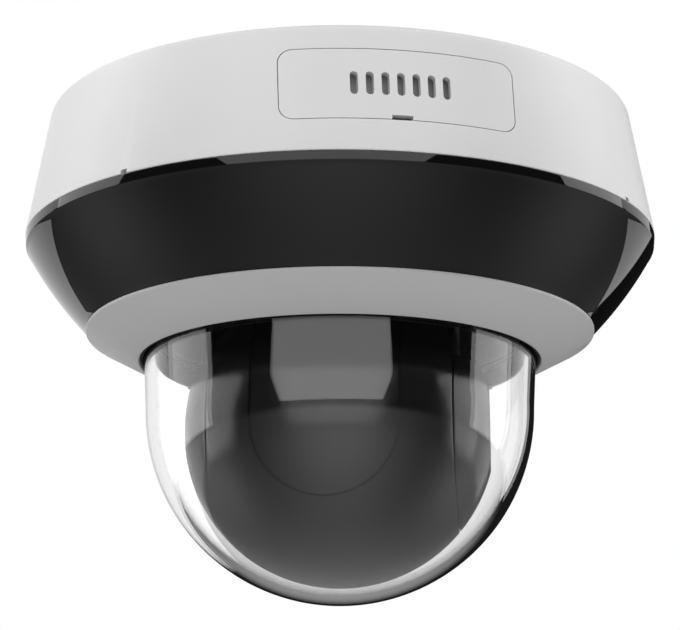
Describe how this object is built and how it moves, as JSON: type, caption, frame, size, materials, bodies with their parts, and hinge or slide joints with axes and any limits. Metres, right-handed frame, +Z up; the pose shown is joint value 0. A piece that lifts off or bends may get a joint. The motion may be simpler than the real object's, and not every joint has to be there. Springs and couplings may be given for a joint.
{
  "type": "ceiling-mounted dome ptz camera",
  "caption": "Compact ceiling dome camera: drafted white housing, black infrared window band, grey trim ring and a clear dome over a panning, tilting camera ball.",
  "frame": {"origin": "centre of the ceiling plate's top face, on the pan axis", "axes": "+Z up out of the ceiling face along the pan axis; -Y towards the service door; the camera hangs to -Z"},
  "size_m": [0.1306, 0.1306, 0.1015],
  "materials": {
    "white_shell": "fine moulded satin",
    "grey_trim": "satin painted",
    "liner_grey": "satin",
    "black_gloss": "polished gloss",
    "black_plastic": "fine moulded texture",
    "ir_window": "infrared-passing polished band",
    "clear_dome": "optically clear moulded dome",
    "clear_window": "coated clear window",
    "lens_glass": "coated lens glass in a black cell",
    "sensor_glass": "covered sensor",
    "led_lens": "clear epoxy",
    "steel": "plated, lightly brushed",
    "zinc_steel": "zinc-plated sheet",
    "aluminium": "die-cast, satin",
    "brass": "machined",
    "circuit_board": "solder-masked board",
    "black_rubber": "soft moulded",
    "nylon": "natural moulded nylon"
  },
  "bodies": {
    "base": {"ceiling_plate": "zinc_steel", "base_housing": "white_shell", "lock_screw": "steel", "chassis_plate": "aluminium", "chassis_screw_1": "steel", "chassis_screw_2": "steel", "chassis_screw_3": "steel", "main_board": "circuit_board", "soc_heatsink": "aluminium", "network_jack": "steel", "power_jack": "black_plastic", "card_slot": "steel", "reset_switch": "black_plastic", "cable_grommet": "black_rubber", "pan_motor": "zinc_steel", "pan_bearing_outer": "steel", "pan_stop_pin": "steel", "home_sensor": "black_plastic", "ir_window": "ir_window", "ir_board": "circuit_board", "ir_led_1": "led_lens", "ir_led_2": "led_lens", "ir_led_3": "led_lens", "ir_led_4": "led_lens", "light_sensor": "black_plastic", "inner_liner": "liner_grey", "trim_ring": "grey_trim", "dome_seal": "black_rubber", "dome_bubble": "clear_dome", "dome_clamp_ring": "aluminium"},
    "door": {"access_door": "white_shell"},
    "card": {"memory_card": "black_plastic"},
    "reset": {"reset_button": "nylon"},
    "pan_drive": {"pan_pinion": "brass"},
    "turret": {"turret_yoke": "black_plastic", "pan_gear": "nylon", "pan_bearing_inner": "steel", "pan_clip": "steel", "turret_shroud": "black_plastic", "left_side_cap": "black_gloss", "right_side_cap": "black_gloss", "left_tilt_bush": "brass", "right_tilt_bush": "brass", "tilt_gear": "nylon"},
    "eyeball": {"ball_front_shell": "black_gloss", "ball_rear_shell": "black_gloss", "left_trunnion": "steel", "right_trunnion": "steel", "tilt_motor": "zinc_steel", "lens_barrel": "black_plastic", "lens_bezel": "black_gloss", "lens_window": "clear_window", "front_lens": "lens_glass", "image_sensor": "sensor_glass", "sensor_board": "circuit_board"},
    "tilt_drive": {"tilt_pinion": "brass"},
    "zoom": {"zoom_group": "lens_glass"},
    "focus": {"focus_group": "lens_glass"},
    "filter": {"ir_cut_filter": "lens_glass"}
  },
  "joints": [
    {"name": "pan", "type": "hinge", "parent": "base", "child": "turret", "pos_m": [0, 0, -0.0135], "axis": [0, 0, 1], "range_deg": [-158.3, 191.7]},
    {"name": "tilt", "type": "hinge", "parent": "turret", "child": "eyeball", "pos_m": [0, 0, -0.0662], "axis": [-0.9578, 0.2874, 0], "range_deg": [0, 90]},
    {"name": "pan_pinion_spin", "type": "hinge", "parent": "base", "child": "pan_drive", "pos_m": [0.02045, 0.02045, -0.019], "axis": [0, 0, 1], "range_deg": [-960, 795]},
    {"name": "tilt_pinion_spin", "type": "hinge", "parent": "eyeball", "child": "tilt_drive", "pos_m": [-0.0246, -0.00371, -0.0662], "axis": [-0.9578, 0.2874, 0], "range_deg": [-1, 226]},
    {"name": "zoom_travel", "type": "slide", "parent": "eyeball", "child": "zoom", "axis": [0.2874, 0.9578, 0], "range_m": [-0.003, 0.0055]},
    {"name": "focus_travel", "type": "slide", "parent": "eyeball", "child": "focus", "axis": [0.2874, 0.9578, 0], "range_m": [-0.0015, 0.0015]},
    {"name": "filter_travel", "type": "slide", "parent": "eyeball", "child": "filter", "axis": [0.9578, -0.2874, 0], "range_m": [0, 0.006]},
    {"name": "door_pull", "type": "slide", "parent": "base", "child": "door", "axis": [0, -1, 0], "range_m": [0, 0.025]},
    {"name": "card_pull", "type": "slide", "parent": "base", "child": "card", "axis": [0, -1, 0], "range_m": [0, 0.008]},
    {"name": "reset_press", "type": "slide", "parent": "base", "child": "reset", "axis": [0, 1, 0], "range_m": [0, 0.0005], "stiffness_N_per_m": 300}
  ],
  "couplings": [
    {"joint": "pan_pinion_spin", "follows": "pan", "ratio": -5},
    {"joint": "tilt_pinion_spin", "follows": "tilt", "ratio": 2.5}
  ]
}
